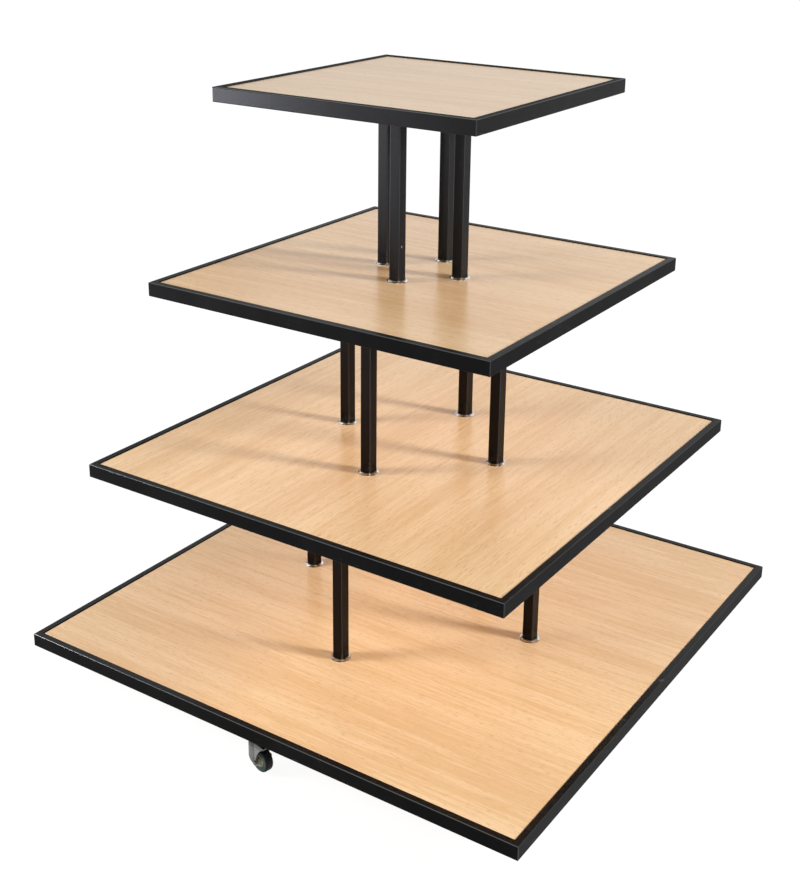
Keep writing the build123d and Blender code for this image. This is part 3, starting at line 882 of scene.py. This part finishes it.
def soft_box(name, place, size, power, colour=PLAIN_WHITE, sheen_on=None):
    """A soft box aimed at the stand. It lights what is plain, or shows as a sheen on the nodes given."""
    lamp = bpy.data.lights.new(name, "AREA")
    lamp.shape = "RECTANGLE"
    lamp.size, lamp.size_y = size
    lamp.energy = power
    lamp.color = colour
    holder = bpy.data.objects.new(name, lamp)
    bpy.context.scene.collection.objects.link(holder)
    holder.visible_diffuse = sheen_on is None
    holder.visible_glossy = sheen_on is not None
    if sheen_on:
        lit = bpy.data.collections.new(f"{name}_nodes")
        for node in sheen_on:
            lit.objects.link(nodes[node])
        holder.light_linking.receiver_collection = lit
    holder.location = place
    holder.rotation_euler = (Vector(LAMP_AIM) - Vector(place)).to_track_quat("-Z", "Y").to_euler()


def light_path(wire, ray):
    return wire.node("ShaderNodeLightPath", output=ray)


def seen_rays(wire):
    """1 for the rays that show the background: straight, mirrored or through glass."""
    mirrored_or_through = light_path(wire, "Is Glossy Ray").most(light_path(wire, "Is Transmission Ray"))
    return light_path(wire, "Is Camera Ray").most(mirrored_or_through)


def pale_room():
    """A white background that lights the stand with an even, lower light."""
    world = bpy.data.worlds.new("pale_room")
    world.use_nodes = True
    world.node_tree.nodes.clear()
    wire = Wire(world.node_tree)
    direction = wire.node("ShaderNodeTexCoord", output="Generated")
    height = direction.axis("Z")
    side = mapped(wire, direction, turn=-PATCH_TURN).axis("X")
    horizon = 1 - height.between(*HORIZON_RANGE)
    patch = side.between(*PATCH_START) * (1 - side.between(*PATCH_END))
    patch = patch * height.between(*PATCH_FOOT) * (1 - height.between(*PATCH_HEAD))
    dimmed = light_path(wire, "Is Glossy Ray") * (horizon * HORIZON_DIM).most(patch)
    strength = (seen_rays(wire) * (1 - ROOM_LIGHT) + ROOM_LIGHT) * (1 - dimmed)
    light = wire.node("ShaderNodeBackground", {}, {"Color": ROOM_COLOUR, "Strength": strength})
    wire.node("ShaderNodeOutputWorld", {}, {"Surface": light})
    bpy.context.scene.world = world


def pale_floor():
    """A white floor that keeps a faint shadow near the stand and is clear from below."""
    material, wire = new_material("pale_floor")
    plain = wire.node("ShaderNodeBsdfDiffuse", {}, {"Color": FLOOR_COLOUR})
    shaded = wire.node("ShaderNodeBsdfDiffuse", {}, {"Color": FLOOR_SHADED})
    place = object_place(wire)
    far = place.length().between(*FLOOR_FAR_RANGE)
    dim_side = mapped(wire, place, turn=-FLOOR_DIM_TURN).axis("X").between(*FLOOR_DIM_RANGE)
    dimmed = light_path(wire, "Is Glossy Ray") * dim_side * FLOOR_DIM_SHARE
    strength = (FLOOR_GLOW + far * (FLOOR_FAR_GLOW - FLOOR_GLOW)) * (1 - dimmed)
    glow = wire.node("ShaderNodeEmission", {}, {"Color": ROOM_COLOUR, "Strength": strength})
    seen = wire.node("ShaderNodeAddShader", {}, {0: shaded, 1: glow})
    above = wire.node("ShaderNodeMixShader", {}, {0: seen_rays(wire), 1: plain, 2: seen})
    below = wire.node("ShaderNodeNewGeometry", output="Backfacing")
    clear = wire.node("ShaderNodeBsdfTransparent")
    floor_shader = wire.node("ShaderNodeMixShader", {}, {0: below, 1: above, 2: clear})
    wire.node("ShaderNodeOutputMaterial", {}, {"Surface": floor_shader})
    bpy.ops.mesh.primitive_plane_add(size=FLOOR_SIZE)
    floor = bpy.context.object
    floor.name = "floor"
    floor.data.materials.append(material)


place_camera()
soft_box("right_soft_box", RIGHT_LAMP_PLACE, RIGHT_LAMP_SIZE, RIGHT_LAMP_POWER)
soft_box("left_soft_box", LEFT_LAMP_PLACE, LEFT_LAMP_SIZE, LEFT_LAMP_POWER)
soft_box("top_soft_box", TOP_LAMP_PLACE, TOP_LAMP_SIZE, TOP_LAMP_POWER)
coated = [node for node in nodes if "_rim_" in node or "_leg_" in node or "_cross_bars" in node]
soft_box("sheen_soft_box", SHEEN_LAMP_PLACE, SHEEN_LAMP_SIZE, SHEEN_LAMP_POWER, COOL_WHITE, coated)
pale_room()
pale_floor()
bpy.context.scene.view_settings.view_transform = "Standard"
